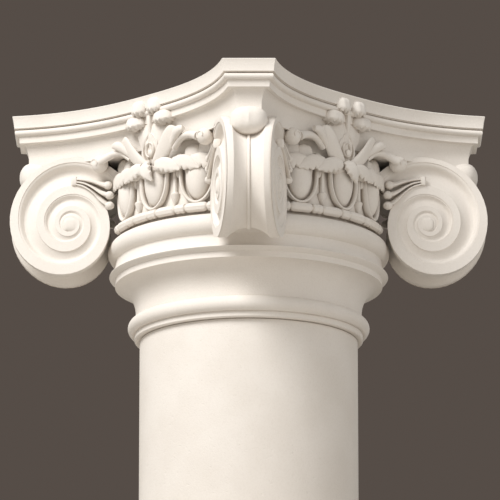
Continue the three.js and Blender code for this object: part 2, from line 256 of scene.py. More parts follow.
def abacus():
    hollow_drop = TOP - LEVEL["bed"]
    turn = np.linspace(0, 1, 9)
    face = np.stack([2.3 * np.sin(turn * math.pi / 2) ** 0.8, 0.8 + 13.6 * turn], -1)
    bead_turn = np.radians(np.linspace(80, -62, 8))
    bead = np.stack([7.2 - 4.4 * np.cos(bead_turn), 19.4 - 3.7 * np.sin(bead_turn)], -1)
    hollow_turn = np.linspace(0, 1, 9)[1:]
    hollow = np.stack([
        HOLLOW_BREAK + (HOLLOW_INSET - HOLLOW_BREAK) * np.sin(hollow_turn * math.pi / 2) ** 0.8,
        HOLLOW_TOP + (hollow_drop - HOLLOW_TOP) * hollow_turn,
    ], -1)
    steps = np.vstack([
        [(0.8, 0)], face, [(4.6, 14.9), (4.6, 15.5)], bead, [(8.0, 23.2), (8.4, HOLLOW_TOP)],
        [(9.4, 31.6), (13.6, 31.3)], hollow, [(HOLLOW_INSET, TOP - SKIRT_FOOT)],
    ])
    return skin([abacus_ring(inset, drop) for inset, drop in steps])


print(f"the moulded wall of the abacus ends {TOP - SKIRT_FOOT:.1f} mm below its top")

# %% [markdown]
# ## Smooth curves through a few knots
#
# Stems, leaves and the spiral itself are drawn as masons set them out: a few measured
# places with an even curve through them. A Catmull-Rom spline does this, and it works on
# plain numbers as well as on points, so a leaf's width can swell and taper in the same way.

# %% A curve through knots
def spline(knots, places):
    """Values at places from 0 to 1 on a smooth curve through evenly spaced knots."""
    knots = np.asarray(knots, float)
    ends = (2 * knots[:1] - knots[1:2], 2 * knots[-1:] - knots[-2:-1])
    knots = np.concatenate([ends[0], knots, ends[1]])
    spans = len(knots) - 3
    scaled = np.clip(places, 0, 1) * spans
    first = np.minimum(scaled.astype(int), spans - 1)
    part = scaled - first
    if knots.ndim > 1:
        part = part[:, None]
    a, b, c, d = (knots[first + i] for i in range(4))
    return 0.5 * (2 * b + (c - a) * part + (2 * a - 5 * b + 4 * c - d) * part ** 2
                  + (3 * b - a - 3 * c + d) * part ** 3)

# %% [markdown]
# ## The spiral of a volute
#
# A volute is a thick slab on the corner, carved on both faces with the same spiral. A flat
# band winds in to the eye, with a hollow between its turns. Masons draw it by compass from
# measured radii at each quarter turn, and so does this cell. The hollow is deepest just
# inside the band and rises to the next turn, which stands a little proud.

# %% Set out the spiral
QUARTERS_BEFORE = 1
BAND_OUTER = [84, 79, 69.2, 60.9, 47.6, 44.6, 37.6, 33.6, 25, 20.5,
              16.4, 15.6, 12.5, 9, 8.2, 9.9, 10.6]
BAND_INNER = [70, 73.2, 59.3, 49.2, 38.9, 34.8, 28.9, 22.8, 18, 14.6,
              11.5, 11.4, 11.2, 9.5, 9, 10.2, 10.8]
STEPS_PER_TURN = 46
FIRST_TURN = -1 / 6
LAST_TURN = 3.7
EYE_OUT, EYE_UP = 209.4, 358.0
HALF_THICKNESS, SPLAY = 35.9, 0.165


def at_turn(radii, turns):
    place = (turns * 4 + QUARTERS_BEFORE) / (len(radii) - 1)
    return np.exp(spline(np.log(radii), np.asarray(place, float)))


def half_thickness(out):
    return HALF_THICKNESS - SPLAY * out


def on_volute(turns, radius, lift, side):
    """A point of a volute face: "out" runs along the diagonal, "lift" stands off the face."""
    angle = 2 * math.pi * np.asarray(turns)
    out = radius * np.sin(angle)
    across = side * (half_thickness(out) + lift)
    return np.stack(np.broadcast_arrays(EYE_OUT + out, across, EYE_UP + radius * np.cos(angle)), -1)

print("the scroll reaches", round(float(at_turn(BAND_OUTER, 0.25)), 1), "mm outwards from its centre")

# %% [markdown]
# ## Across the spiral
#
# Each step along the spiral gets a row of points from the band down into the hollow and up
# to the next turn. The first two places make a crisp step and a narrow rounded edge, and
# the fall to the deepest line is steeper than the rise after it. The hollow is a share of
# its own width deep, so it grows shallower as it winds in.

# %% Rows across the spiral
CHANNEL_DEPTH = 0.34
CHANNEL_PLACE = [0.015, 0.06, 0.11, 0.17, 0.24, 0.32, 0.42, 0.54, 0.68, 0.84, 0.975]
CHANNEL_FALL = [0.10, 0.12, 0.19, 0.38, 0.68, 0.92, 1.0, 0.93, 0.75, 0.5, 0.28]
BAND_STEP = 0.9


def spiral_rows(side):
    steps = np.arange(round((LAST_TURN - FIRST_TURN) * STEPS_PER_TURN) + 1)
    turns = FIRST_TURN + steps / STEPS_PER_TURN
    hollow = turns[:-STEPS_PER_TURN]
    outer, inner = at_turn(BAND_OUTER, turns), at_turn(BAND_INNER, hollow)
    next_outer = at_turn(BAND_OUTER, hollow + 1)
    width = inner - next_outer
    deep = CHANNEL_DEPTH * width * np.clip((hollow[-1] - hollow) * 4, 0.05, 1)
    step = np.minimum(BAND_STEP, 0.3 * deep)
    columns = [on_volute(hollow, inner, 0, side)]
    for place, fall in zip(CHANNEL_PLACE, CHANNEL_FALL):
        lift = -np.maximum(fall * deep, step)
        columns.append(on_volute(hollow, inner - width * place, lift, side))
    rim = on_volute(turns, outer, 0, side)
    return rim, np.stack(columns, 1)


first_hollow = float(at_turn(BAND_INNER, 0.25) - at_turn(BAND_OUTER, 1.25))
print(f"a quarter turn in, the hollow is {first_hollow:.1f} mm wide "
      f"and {CHANNEL_DEPTH * first_hollow:.1f} mm deep")

# %% [markdown]
# ## The rim of a volute
#
# The two carved faces are joined by the rim, a wide hollow between two flat borders with a
# thin bead along its middle. Rings of the outline, at falling distance from the middle of
# the slab, make it with the same skin as the other forms.

# %% The slab of a volute
RIM_PROFILE = [(1.0, 1.0), (0.93, 0.2), (0.88, 0.0), (0.68, 0.0), (0.655, 0.5)]
RIM_HOLLOW, RIM_DEPTH = 0.65, 11.3
RIM_BEAD = [(0.062, 11.2), (0.055, 9.8), (0.02, 9.3)]


def rim_columns():
    fractions = np.linspace(RIM_HOLLOW, 0.12, 9)[1:]
    hollow = [(f, RIM_DEPTH * (1 - (f / RIM_HOLLOW) ** 2) ** 0.8) for f in fractions]
    half = RIM_PROFILE + hollow + RIM_BEAD
    return half + [(-fraction, inset) for fraction, inset in reversed(half)]


def volute_slab():
    rim_side, rows_side = {}, {}
    for side in (1, -1):
        rim_side[side], rows_side[side] = spiral_rows(side)
    count, hollows, columns = len(rim_side[1]), *rows_side[1].shape[:2]
    points, faces = [], []
    for side in (1, -1):
        base = sum(len(block) for block in points)
        points += [rim_side[side], rows_side[side].reshape(-1, 3)]

        def rim_at(row, base=base):
            return base + row

        def hollow_at(row, column, base=base):
            return base + count + row * columns + column

        block = []
        for row in range(hollows - 1):
            block.append((rim_at(row), rim_at(row + 1), hollow_at(row + 1, 0), hollow_at(row, 0)))
            for column in range(columns - 1):
                block.append((hollow_at(row, column), hollow_at(row + 1, column),
                              hollow_at(row + 1, column + 1), hollow_at(row, column + 1)))
            block.append((hollow_at(row, columns - 1), hollow_at(row + 1, columns - 1),
                          rim_at(row + 1 + STEPS_PER_TURN), rim_at(row + STEPS_PER_TURN)))
        middle = [rim_at(row) for row in range(hollows - 1, count)]
        middle += [hollow_at(hollows - 1, column) for column in range(columns - 1, -1, -1)]
        block.append(tuple(middle))
        faces += block if side > 0 else [face[::-1] for face in block]
    face_size = count + hollows * columns
    outline = list(range(STEPS_PER_TURN + 1)) + [count + column for column in range(columns - 1, -1, -1)]
    plus_edge, minus_edge = outline, [face_size + corner for corner in outline]
    base = 2 * face_size
    middle_of_slab = np.array([EYE_OUT, 0, EYE_UP])
    edge_points = np.vstack(points)[outline]
    from_eye = edge_points - middle_of_slab
    reach = np.hypot(from_eye[:, 0], from_eye[:, 2])
    rings = [plus_edge]
    for fraction, inset in rim_columns():
        ring = edge_points.copy()
        keep = 1 - inset / reach
        ring[:, 0] = EYE_OUT + from_eye[:, 0] * keep
        ring[:, 2] = EYE_UP + from_eye[:, 2] * keep
        ring[:, 1] = half_thickness(from_eye[:, 0]) * fraction
        points.append(ring)
        rings.append(list(range(base, base + len(ring))))
        base += len(ring)
    rings.append(minus_edge)
    for upper, lower in zip(rings, rings[1:]):
        for i in range(len(upper)):
            j = (i + 1) % len(upper)
            faces.append((upper[i], lower[i], lower[j], upper[j]))
    return facing_out(np.vstack(points), faces)

# %% [markdown]
# ## Balls, eggs and bosses
#
# Rounded forms are squeezed spheres. A squareness of 2 gives an ellipsoid, and more gives
# the fuller shape of a boss.

# %% Rounded knobs
def knob(centre, half_sizes, columns=20, rows=12, squareness=2.0, shape=None):
    upright = np.radians(np.linspace(-88, 88, rows))
    turn = np.linspace(0, 2 * math.pi, columns, endpoint=False)
    x = np.cos(upright)[:, None] * np.cos(turn)
    y = np.cos(upright)[:, None] * np.sin(turn)
    z = np.sin(upright)[:, None] * np.ones(columns)
    ball = np.stack([x, y, z], -1)
    ball *= ((np.abs(ball) ** squareness).sum(-1, keepdims=True)) ** (-1 / squareness)
    if shape:
        ball = shape(ball)
    return skin(np.asarray(centre) + ball * np.asarray(half_sizes))

# %% [markdown]
# ## Stems, leaves and lobes
#
# Carved leaves are long forms with a changing section. A sweep moves an oval section along
# a curve. Its width runs across the leaf and its depth stands off the wall. The edge may be
# scalloped, and ribs or flutes can be added to the front, which is what turns a plain limb
# into a leaf.

# %% Sweep a section along a curve
def unit(vectors):
    return vectors / np.linalg.norm(vectors, axis=-1, keepdims=True)


def sweep(knots, widths, depths, rows=24, columns=12, across=None, relief=None, edge=None):
    places = np.linspace(0, 1, rows)
    centre = spline(knots, places)
    forward = unit(np.gradient(centre, axis=0))
    if across is None:
        outward = unit(centre * (1, 1, 0))
        across = np.cross(forward, outward)
    side = unit(np.broadcast_to(np.asarray(across, float), centre.shape))
    lift = unit(np.cross(side, forward))
    turn = np.linspace(0, 2 * math.pi, columns, endpoint=False)
    u, v = np.cos(turn), np.sin(turn)
    reach = spline(widths, places)[:, None] / 2 * u
    rise = spline(depths, places)[:, None] / 2 * v
    if edge:
        reach = reach * edge(places[:, None], u)
    if relief:
        rise = rise + relief(places[:, None], u) * np.clip(v, 0, 1)
    rings = centre[:, None] + side[:, None] * reach[..., None] + lift[:, None] * rise[..., None]
    return skin(rings)

# %% [markdown]
# ## Stems, eye and boss
#
# Three stems leave a small tie at the top of each spiral, thicken as they go and end in
# round buds over the nearest egg. They lie in the hollow, so their sections are deep enough
# to reach its floor. A small round button marks the eye, a little off the spiral's centre,
# and a boss with a ridge down its middle covers the top of the rim.

# %% Stems, eye and boss of a volute
TIE_OUT, TIE_UP = -6, 50
STEM_PATHS = [
    [(-7, 52.4), (-19, 50.8), (-31, 47.6), (-40, 44.2), (-45.5, 43)],
    [(-7, 49.4), (-19, 46.6), (-30, 40.6), (-40, 33.8), (-47.5, 31)],
    [(-7, 46.6), (-19, 42.6), (-31, 34), (-40.5, 24.6), (-47.5, 18.5)],
]
STEM_LIFTS = (-1.8, -1.6, -1.2, -0.2, 0.8)
STEM_WIDTHS, STEM_DEPTHS = [3.2, 4.6, 6.2, 8.2, 9.4, 8.4], [9, 10, 11, 12, 12, 10]
STEM_TILT = (0.5, 0, 0.87)
BUD_SIZES = (5.8, 6.0, 5.0)
TIE_SIZES = (3.8, 5.0, 5.7)
BUTTON_OUT, BUTTON_UP, BUTTON_SUNK = -2.3, -1.6, -1.6
BUTTON_SIZES = (8.4, 3.0, 8.4)
CAP_OUT, CAP_UP = 249.2, 421.6
CAP_SIZES = (18.7, 21.5, 16.4)
RIDGE_WIDTH, RIDGE_HEIGHT = 0.075, 0.05


def beside_eye(out, up, lift, side):
    return np.array([EYE_OUT + out, side * (half_thickness(out) + lift), EYE_UP + up])


def volute_stems(side):
    solids = []
    for path in STEM_PATHS:
        knots = [beside_eye(out, up, lift, side) for (out, up), lift in zip(path, STEM_LIFTS)]
        solids.append(sweep(knots, STEM_WIDTHS, STEM_DEPTHS, rows=22, columns=10, across=STEM_TILT))
        solids.append(knob(knots[-1], BUD_SIZES, 10, 7))
    tie = beside_eye(TIE_OUT, TIE_UP, -1.5, side)
    solids.append(knob(tie, TIE_SIZES, 12, 9, 4))
    return solids


def volute_eye(side):
    centre = beside_eye(BUTTON_OUT, BUTTON_UP, BUTTON_SUNK, side)
    return knob(centre, BUTTON_SIZES, 24, 9, 3)


def volute_cap():
    def ridge(ball):
        line = np.exp(-(ball[..., 1] / RIDGE_WIDTH) ** 2)
        ball[..., 0] += RIDGE_HEIGHT * line
        return ball

    return knob((CAP_OUT, 0, CAP_UP), CAP_SIZES, 44, 17, 2.6, ridge)


def volute():
    solids = [volute_slab(), volute_cap()]
    for side in (1, -1):
        solids += [volute_eye(side), *volute_stems(side)]
    return solids


print("one volute is joined from", len(volute()), "forms")

# %% [markdown]
# ## Bead and reel
#
# Between the torus and the eggs runs a string of long beads with pairs of thin discs. The
# whole string is one rod bent around the bell whose radius rises and falls along its
# length.

# %% The string of beads
ROPE_RING, ROPE_RADIUS = 155.6, 5.85
ROPE_PITCH, BEAD_ANGLE, DISC_ANGLE = 15.0, 9.5, 2.45
BELT_HALF_ANGLE = 31.5


def bead_radius(degrees):
    from_pair = (degrees + ROPE_PITCH / 2) % ROPE_PITCH - ROPE_PITCH / 2
    from_bead = degrees % ROPE_PITCH - ROPE_PITCH / 2
    bead = 1 - np.clip(np.abs(from_bead) / (BEAD_ANGLE / 2), 0, 1) ** 7
    disc = 1 - np.clip(np.abs(np.abs(from_pair) - DISC_ANGLE / 2) / (DISC_ANGLE / 2), 0, 1) ** 4
    return ROPE_RADIUS * (0.62 + 0.38 * np.maximum(np.sqrt(bead), 0.95 * np.sqrt(disc)))


def rope():
    degrees = np.linspace(-BELT_HALF_ANGLE, BELT_HALF_ANGLE, 140)
    turn = np.linspace(0, 2 * math.pi, 9, endpoint=False)
    radius = bead_radius(degrees)[:, None]
    return skin(around(degrees[:, None], ROPE_RING + radius * np.cos(turn),
                       LEVEL["rope"] + radius * np.sin(turn)))

# %% [markdown]
# ## Eggs, husks and darts
#
# Three eggs sit on each face, each in a husk whose rim comes down one side, round below the
# egg and up the other. Between the husks hang darts. Their tops are hidden by a garland.

# %% Eggs, husks and darts
EGG_PITCH = 22.5
EGG_RING, EGG_DEEP, EGG_HALF_WIDE, EGG_HALF_TALL, EGG_LEVEL = 147.4, 15.2, 16.2, 31.0, 388.4
HUSK_HALF_WIDE, HUSK_DROP, HUSK_TOP = 20.6, 33.0, 403
DART_TOP, DART_COLLAR, DART_TIP = 402, 369, 355.5


def egg():
    def pointed(ball):
        taper = 1 - 0.10 * ball[..., 2:] ** 3
        return ball * np.concatenate([np.ones_like(taper), 2 - taper, np.ones_like(taper)], -1)

    return knob((EGG_RING, 0, EGG_LEVEL), (EGG_DEEP, EGG_HALF_WIDE, EGG_HALF_TALL), 24, 16, 2.1, pointed)


def husk():
    turns = np.radians(np.linspace(-90, 90, 9))
    along = HUSK_HALF_WIDE * np.sin(turns)
    height = EGG_LEVEL - HUSK_DROP * np.cos(turns)
    along = np.concatenate([[-HUSK_HALF_WIDE], along, [HUSK_HALF_WIDE]])
    height = np.concatenate([[HUSK_TOP], height, [HUSK_TOP]])
    outward = np.sqrt(154.5 ** 2 - along ** 2)
    knots = np.stack([outward, along, height], -1)
    return sweep(knots, [4.2] * 5, [8] * 5, rows=44, columns=10)


def dart():
    heights = [DART_TOP, 392, 382, 373, DART_COLLAR + 1.5, DART_COLLAR, DART_COLLAR - 2.5, 362, DART_TIP]
    widths = [6.5, 6.2, 6.0, 6.2, 6.6, 11, 10.5, 7.5, 1.2]
    depths = [9, 9, 9, 9, 10, 14, 13, 10, 4]
    places = np.linspace(0, 1, 25)
    turn = np.linspace(0, 2 * math.pi, 12, endpoint=False)
    height, width, depth = (spline(values, places)[:, None] for values in (heights, widths, depths))
    flute = 1.3 * np.exp(-(np.sin(turn) / 0.35) ** 2) * (np.cos(turn) > 0)
    outward = 150.5 + depth / 2 * np.cos(turn) - flute * (height > DART_COLLAR + 1)
    return skin(np.stack(np.broadcast_arrays(outward, width / 2 * np.sin(turn), height), -1))

# %% [markdown]
# ## The garland
#
# A band of overlapping leaves lies along over the tops of the eggs, with a larger tongue
# hanging in the middle. It is a bent strip with three leaves laid on it to each side, each
# with a midrib and a scalloped lower edge. Each leaf starts on top of the one outside it.

# %% The garland
GARLAND_RING, GARLAND_LEVEL = 158.0, 401.5
GARLAND_HALF_ANGLE, GARLAND_SAG = 30, 3.2
LEAF_STARTS = (21, 12.5, 4)
# Along a leaf: degrees from its start, how far it stands off, and how far up or down.
LEAF_PATH = [(0, 0, 3), (4, 1.4, 1.5), (8, 1.6, -2), (12, 0.4, -7.5)]
TONGUE_PATH = [(-1.5, 5, 7), (-0.5, 10, 1), (1, 11, -7), (3, 8.5, -15.5)]


def leaf_ribs(count, depth):
    def relief(place, u):
        rib = np.exp(-(u / 0.14) ** 2)
        return depth * (rib * 0.8 - 0.5 * np.cos(count * math.pi * np.abs(u)) * (1 - rib))
    return relief


def notched(count, depth):
    def edge(place, u):
        return 1 - depth * np.abs(np.sin(count * math.pi * place)) ** 0.7 * np.abs(u) ** 3
    return edge


def scalloped(count, depth, lower):
    """Notches along one edge of a leaf; lower is the sign of u on that edge."""
    def edge(place, u):
        scallop = np.abs(np.sin(count * math.pi * place)) ** 0.5
        return 1 - depth * (1 - scallop) * (u * lower > 0.1) * np.abs(u)
    return edge


def garland():
    degrees = np.linspace(-GARLAND_HALF_ANGLE, GARLAND_HALF_ANGLE, 7)
    sag = GARLAND_SAG * (np.abs(degrees) / GARLAND_HALF_ANGLE) ** 2
    strip = around(degrees, GARLAND_RING - 3, GARLAND_LEVEL + sag)
    solids = [sweep(strip, [8, 12, 14, 14, 14, 12, 8], [7, 11, 14, 15, 14, 11, 7], rows=40, columns=10)]
    for side in (1, -1):
        for order, start in enumerate(LEAF_STARTS):
            proud = GARLAND_RING + 3 + order
            knots = [around(side * (start + on), proud + off, GARLAND_LEVEL + up)
                     for on, off, up in LEAF_PATH]
            solids.append(sweep(knots, [12, 17, 18, 14, 2.5], [6, 5, 4.5, 4, 3], rows=26, columns=14,
                                relief=leaf_ribs(2, 0.9), edge=scalloped(4.5, 0.5, side)))
    tongue = [around(on, GARLAND_RING + off, GARLAND_LEVEL + up) for on, off, up in TONGUE_PATH]
    solids.append(sweep(tongue, [14, 21, 22, 15, 3], [6, 7, 7, 6, 3], rows=32, columns=22,
                        relief=leaf_ribs(2, 1.1), edge=notched(4, 0.4)))
    return solids


print("a garland is joined from", len(garland()), "leaves and strips")

# %% [markdown]
# ## The fleuron
#
# In the middle of each side a bunch of leaves rises out of the garland and rolls over the
# mouldings of the abacus. It has a fluted trunk, four lobes and a small eye in an oval
# ring. The wall behind it follows the bow of the abacus, so places are given along the
# side, up, and by how far they stand off that wall.

# %% Places on the wall below the abacus
def on_wall(along, height, proud):
    outward, _ = bowed_side(np.array([float(along)]))
    return np.array([outward[0] - HOLLOW_INSET + proud, along, height])


def mirrored(solid):
    points, faces = solid
    return points * (1, -1, 1), [face[::-1] for face in faces]

# %% [markdown]
# ## Trunk, lobes and eye
#
# The trunk is a fluted sweep that widens upwards. Each lobe is a leaf tip that rolls over,
# made as a squeezed ball with ribs that fan out from below and a scalloped lower edge. Two
# closed rings and a small ball make the eye in front of the trunk, and a fluted stem rises
# from the outer ring between the lobes.

# %% Trunk, lobes and eye of the fleuron
ACROSS_FACE = (0, 1, 0)
RING_KNOTS = [(0.5, 446), (-7, 439), (-12.5, 428), (-10.5, 417), (-2, 409.5), (7, 413),
              (11.5, 424), (8, 437), (0.5, 446)]
EYE_RING_CENTRE, EYE_RING_HALF = (-0.5, 425), (6.2, 8.5)
# Each lobe as along, height, half its width, half its height, and how far it stands off.
LOBES = [(12.4, 474.5, 11.6, 11, 11), (22.5, 459.5, 14.6, 9.4, 8)]
LOBE_DEEP, LOBE_RIBS, RIB_DEPTH = 12.5, 15, 0.07


def flutes(count, depth):
    def relief(place, u):
        return -depth * (0.5 + 0.5 * np.cos(2 * math.pi * count * (u + 1) / 2))
    return relief


def trunk():
    knots = [on_wall(0, height, 1.5) for height in (402, 418, 434, 450, 470)]
    return sweep(knots, [24, 30, 46, 58, 50], [15, 17, 20, 21, 17], rows=22, columns=36, across=ACROSS_FACE,
                 relief=flutes(7, 2.4))


def lobe(along, height, half_wide, half_tall, proud):
    """A leaf tip that rolls over: a ribbed shell with a scalloped lower edge."""
    def shell(ball):
        fan = np.arctan2(ball[..., 1], ball[..., 2] + 1.6)
        ribs = 1 - RIB_DEPTH * (0.5 + 0.5 * np.cos(LOBE_RIBS * fan)) * (ball[..., 0] > 0)
        scallop = 1 - 0.38 * np.abs(np.sin(7.2 * ball[..., 1])) * np.clip(-ball[..., 2] * 2, 0, 1)
        lean = 0.25 * np.clip(-ball[..., 2], 0, 1)
        return np.stack([ball[..., 0] * ribs + lean, ball[..., 1], ball[..., 2] * scallop], -1)

    return knob(on_wall(along, height, proud), (LOBE_DEEP, half_wide, half_tall), 30, 14, 2.5, shell)


def oval_ring(knots, thick, proud):
    path = [on_wall(along, height, proud) for along, height in knots]
    return sweep(path, [thick] * 4, [8] * 4, rows=40, columns=8)


def fleuron():
    turns = np.linspace(0, 2 * math.pi, 9)
    inner = np.stack([EYE_RING_CENTRE[0] + EYE_RING_HALF[0] * np.sin(turns),
                      EYE_RING_CENTRE[1] + EYE_RING_HALF[1] * np.cos(turns)], -1)
    stem = [on_wall(0, height, proud) for height, proud in ((443, 9), (452, 10.5), (462, 11), (472, 11))]
    lobes = [lobe(side * along, *sizes) for along, *sizes in LOBES for side in (1, -1)]
    return [
        trunk(),
        *lobes,
        oval_ring(RING_KNOTS, 3.2, 7.5),
        oval_ring(inner, 3.0, 8.5),
        knob(on_wall(1.4, 421.0, 9), (5, 4.2, 5.2), 14, 9),
        sweep(stem, [3, 6, 8, 9], [6, 7, 8, 8], rows=16, columns=14, across=ACROSS_FACE,
              relief=flutes(3, 1.0)),
    ]


print("a fleuron is joined from", len(fleuron()), "forms")

# %% [markdown]
# ## The side leaves
#
# From the foot of the fleuron a leaf sweeps to each side. Its tip rolls over, and a stem
# runs on from under it to a ball on the shoulder of the volute. Behind it, three flat
# round-topped forms close the gap between the garland and the wall: the tops of an egg, of
# its husk, and of the filling beside the volute.

# %% A side leaf
# Places along each limb as along, height, and how far it stands off the wall.
BLADE_PATH = [(5, 408, 8), (17, 414, 10), (28, 424, 11), (36, 435, 11), (42, 441, 10), (49, 441, 7)]
TIP_PATH = [(33, 424, 7), (42, 433, 10), (50, 438.5, 12), (58, 439.5, 11)]
STALK_PATH = [(36, 421, 5), (48, 430, 6), (59, 432, 6), (70, 430, 6), (82, 425.5, 7)]
BLADE_TILT = (0.45, -0.52, 0.72)
BALL_CENTRE, BALL_RADIUS, CURL_RADIUS = (158.0, 87.5, 425.0), 10, 4.5
# Each flat form as distance from the axis, level, half sizes, squareness and angle.
BACKING = [(151, 405, (7, 10.5, 20), 3.6, 20.3), (150, 402, (6, 4.6, 15), 3.6, 13.6),
           (150, 413, (9, 13, 19), 3, 27.5)]


def side_leaf():

    def leaf_edge(place, u):
        notch = np.abs(np.sin(3 * math.pi * place + 0.4)) ** 0.6
        return 1 - 0.32 * notch * (u < -0.2) * np.abs(u) ** 2

    blade, tip, stalk = ([on_wall(*place) for place in path] for path in (BLADE_PATH, TIP_PATH, STALK_PATH))
    ball = np.array(BALL_CENTRE)
    curl = [ball + (8.6, CURL_RADIUS * math.cos(a), CURL_RADIUS * math.sin(a))
            for a in np.linspace(-0.4, 4.0, 6)]
    limbs = [
        sweep(blade, [8, 17, 22, 21, 16, 5], [8, 8, 7, 6, 5, 3], rows=32, columns=20,
              across=BLADE_TILT, relief=flutes(4, 1.8), edge=leaf_edge),
        sweep(tip, [5, 10, 11, 6], [8, 10, 10, 6], rows=20, columns=14, relief=leaf_ribs(1, 0.6)),
        sweep(stalk, [6, 7.5, 8, 9, 11], [9, 9, 9, 9, 10], rows=24, columns=12),
        knob(ball, (BALL_RADIUS,) * 3, 26, 17),
        sweep(curl, [2.2, 2.6, 2.2], [3, 4, 3], rows=16, columns=6),
    ]
    for order, (ring, height, half_sizes, squareness, degrees) in enumerate(BACKING):
        columns, rows = (22, 14) if order == 0 else (16, 12)
        flat = knob((ring, 0, height), half_sizes, columns, rows, squareness)
        limbs.append(turned_about_axis(flat, degrees))
    return limbs


print("a side leaf is joined from", len(side_leaf()), "forms")

# %% [markdown]
# ## One solid
#
# The real capital is one block, so the forms are joined into one closed mesh. Boolean
# unions do this, first for one quarter and then for the whole. Meshes that only pass
# through each other would look the same in a picture, but would hold hidden faces.

# %% Join the forms
def as_object(name, solid):
    points, faces = solid
    mesh = bpy.data.meshes.new(name)
    mesh.from_pydata((points * MM).tolist(), [], faces)
    mesh.update()
    piece = bpy.data.objects.new(name, mesh)
    bpy.context.scene.collection.objects.link(piece)
    return piece


def united(name, solids):
    parts = [as_object(f"{name}_{order}", solid) for order, solid in enumerate(solids)]
    for part in parts[1:]:
        union = parts[0].modifiers.new("union", "BOOLEAN")
        union.operation = "UNION"
        union.solver = "MANIFOLD"
        union.object = part
    shaped = parts[0].evaluated_get(bpy.context.evaluated_depsgraph_get())
    mesh = bpy.data.meshes.new_from_object(shaped)
    for part in parts:
        bpy.data.objects.remove(part)
    mesh.name = name
    return mesh


def as_solid(mesh):
    points = np.empty(len(mesh.vertices) * 3, np.float32)
    mesh.vertices.foreach_get("co", points)
    return points.reshape(-1, 3).astype(float) / MM, [tuple(face.vertices) for face in mesh.polygons]


face_carving = [rope(), *garland(), *fleuron()]
for degrees in (-EGG_PITCH, 0, EGG_PITCH):
    face_carving += [turned_about_axis(egg(), degrees), turned_about_axis(husk(), degrees)]
for degrees in (-EGG_PITCH / 2, EGG_PITCH / 2):
    face_carving.append(turned_about_axis(dart(), degrees))
for form in side_leaf():
    face_carving += [form, mirrored(form)]
corner = [turned_about_axis(form, CORNER_AZIMUTH) for form in volute()]
quarter = as_solid(united("quarter", corner + face_carving))
quarters = [turned_about_axis(quarter, face * FACE_TURN) for face in range(FACES)]
capital_mesh = united("carved_capital", [body(), abacus(), *quarters])
print("the joined capital has", sum(len(face.vertices) - 2 for face in capital_mesh.polygons), "triangles")

# %% [markdown]
# ## Soft and sharp edges
#
# Rounded forms are shaded smooth, and edges where two faces meet at more than a set angle
# stay sharp, so arrises read as crisp lines.

# %% Shade and place the pieces
SHARP_ANGLE = 34


def shaded(mesh):
    mesh.shade_smooth()
    mesh.set_sharp_from_angle(angle=math.radians(SHARP_ANGLE))
    return mesh


def placed(name, mesh, node):
    piece = bpy.data.objects.new(name, shaded(mesh))
    bpy.context.scene.collection.objects.link(piece)
    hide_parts(node)
    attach(piece, "root")
    return piece


capital = placed("carved_capital", capital_mesh, "capital")
SHAFT_SIDES = 160
shaft_profile = [(SHAFT_RADIUS - 0.8, 0), (SHAFT_RADIUS, 0.8), (SHAFT_RADIUS, SHAFT_LENGTH - 0.6),
                 (SHAFT_RADIUS - 0.6, SHAFT_LENGTH)]
shaft_mesh = united("column_shaft", [turned(shaft_profile, SHAFT_SIDES)])
shaft = placed("column_shaft", shaft_mesh, "shaft")

# %% [markdown]
# ## Writing shader maths
#
# A shader is a graph of nodes. Long graphs are easier to read as formulas, so a small class
# wraps a socket and turns Python's operators into Math nodes. Every other node comes from
# one method that takes its type, its settings and the values of its sockets.

# %% A small shader language
class Field:
    """A value that changes over the surface: one output socket of a material's nodes."""

    def __init__(self, nodes, socket):
        self.nodes, self.socket = nodes, socket

    def combine(self, operation, first, second):
        return self.nodes.make("ShaderNodeMath", {"operation": operation}, {0: first, 1: second})

    def __add__(self, other):
        return self.combine("ADD", self, other)

    def __sub__(self, other):
        return self.combine("SUBTRACT", self, other)

    def __rsub__(self, other):
        return self.combine("SUBTRACT", other, self)

    def __mul__(self, other):
        return self.combine("MULTIPLY", self, other)

    __radd__, __rmul__ = __add__, __mul__


class Finish:
    """The node tree of one material."""

    def __init__(self, name):
        self.material = bpy.data.materials.new(name)
        self.material.use_nodes = True
        self.tree = self.material.node_tree
        self.shader = self.tree.nodes["Principled BSDF"]

    def make(self, kind, settings=None, sockets=None, output=0):
        node = self.tree.nodes.new(kind)
        for name, value in (settings or {}).items():
            setattr(node, name, value)
        for name, value in (sockets or {}).items():
            self.feed(node.inputs[name], value)
        return Field(self, node.outputs[output])

    def feed(self, socket, value):
        if isinstance(value, Field):
            self.tree.links.new(value.socket, socket)
        else:
            socket.default_value = value

    def noise(self, size, detail=3.0, roughness=0.5):
        """Cloudy values from 0 to 1 whose patches are about size millimetres across."""
        place = self.make("ShaderNodeTexCoord", output="Object")
        sockets = {"Vector": place, "Scale": 1 / (size * MM), "Detail": detail, "Roughness": roughness}
        return self.make("ShaderNodeTexNoise", {}, sockets, "Fac")

    def spread(self, value, low, high):
        """The value stretched so that low gives 0 and high gives 1."""
        sockets = {"Value": value, "From Min": low, "From Max": high}
        return self.make("ShaderNodeMapRange", {"interpolation_type": "SMOOTHSTEP"}, sockets, "Result")

    def blend(self, share, first, second):
        sockets = {"Factor": share, 6: first, 7: second}
        return self.make("ShaderNodeMix", {"data_type": "RGBA"}, sockets, 2)
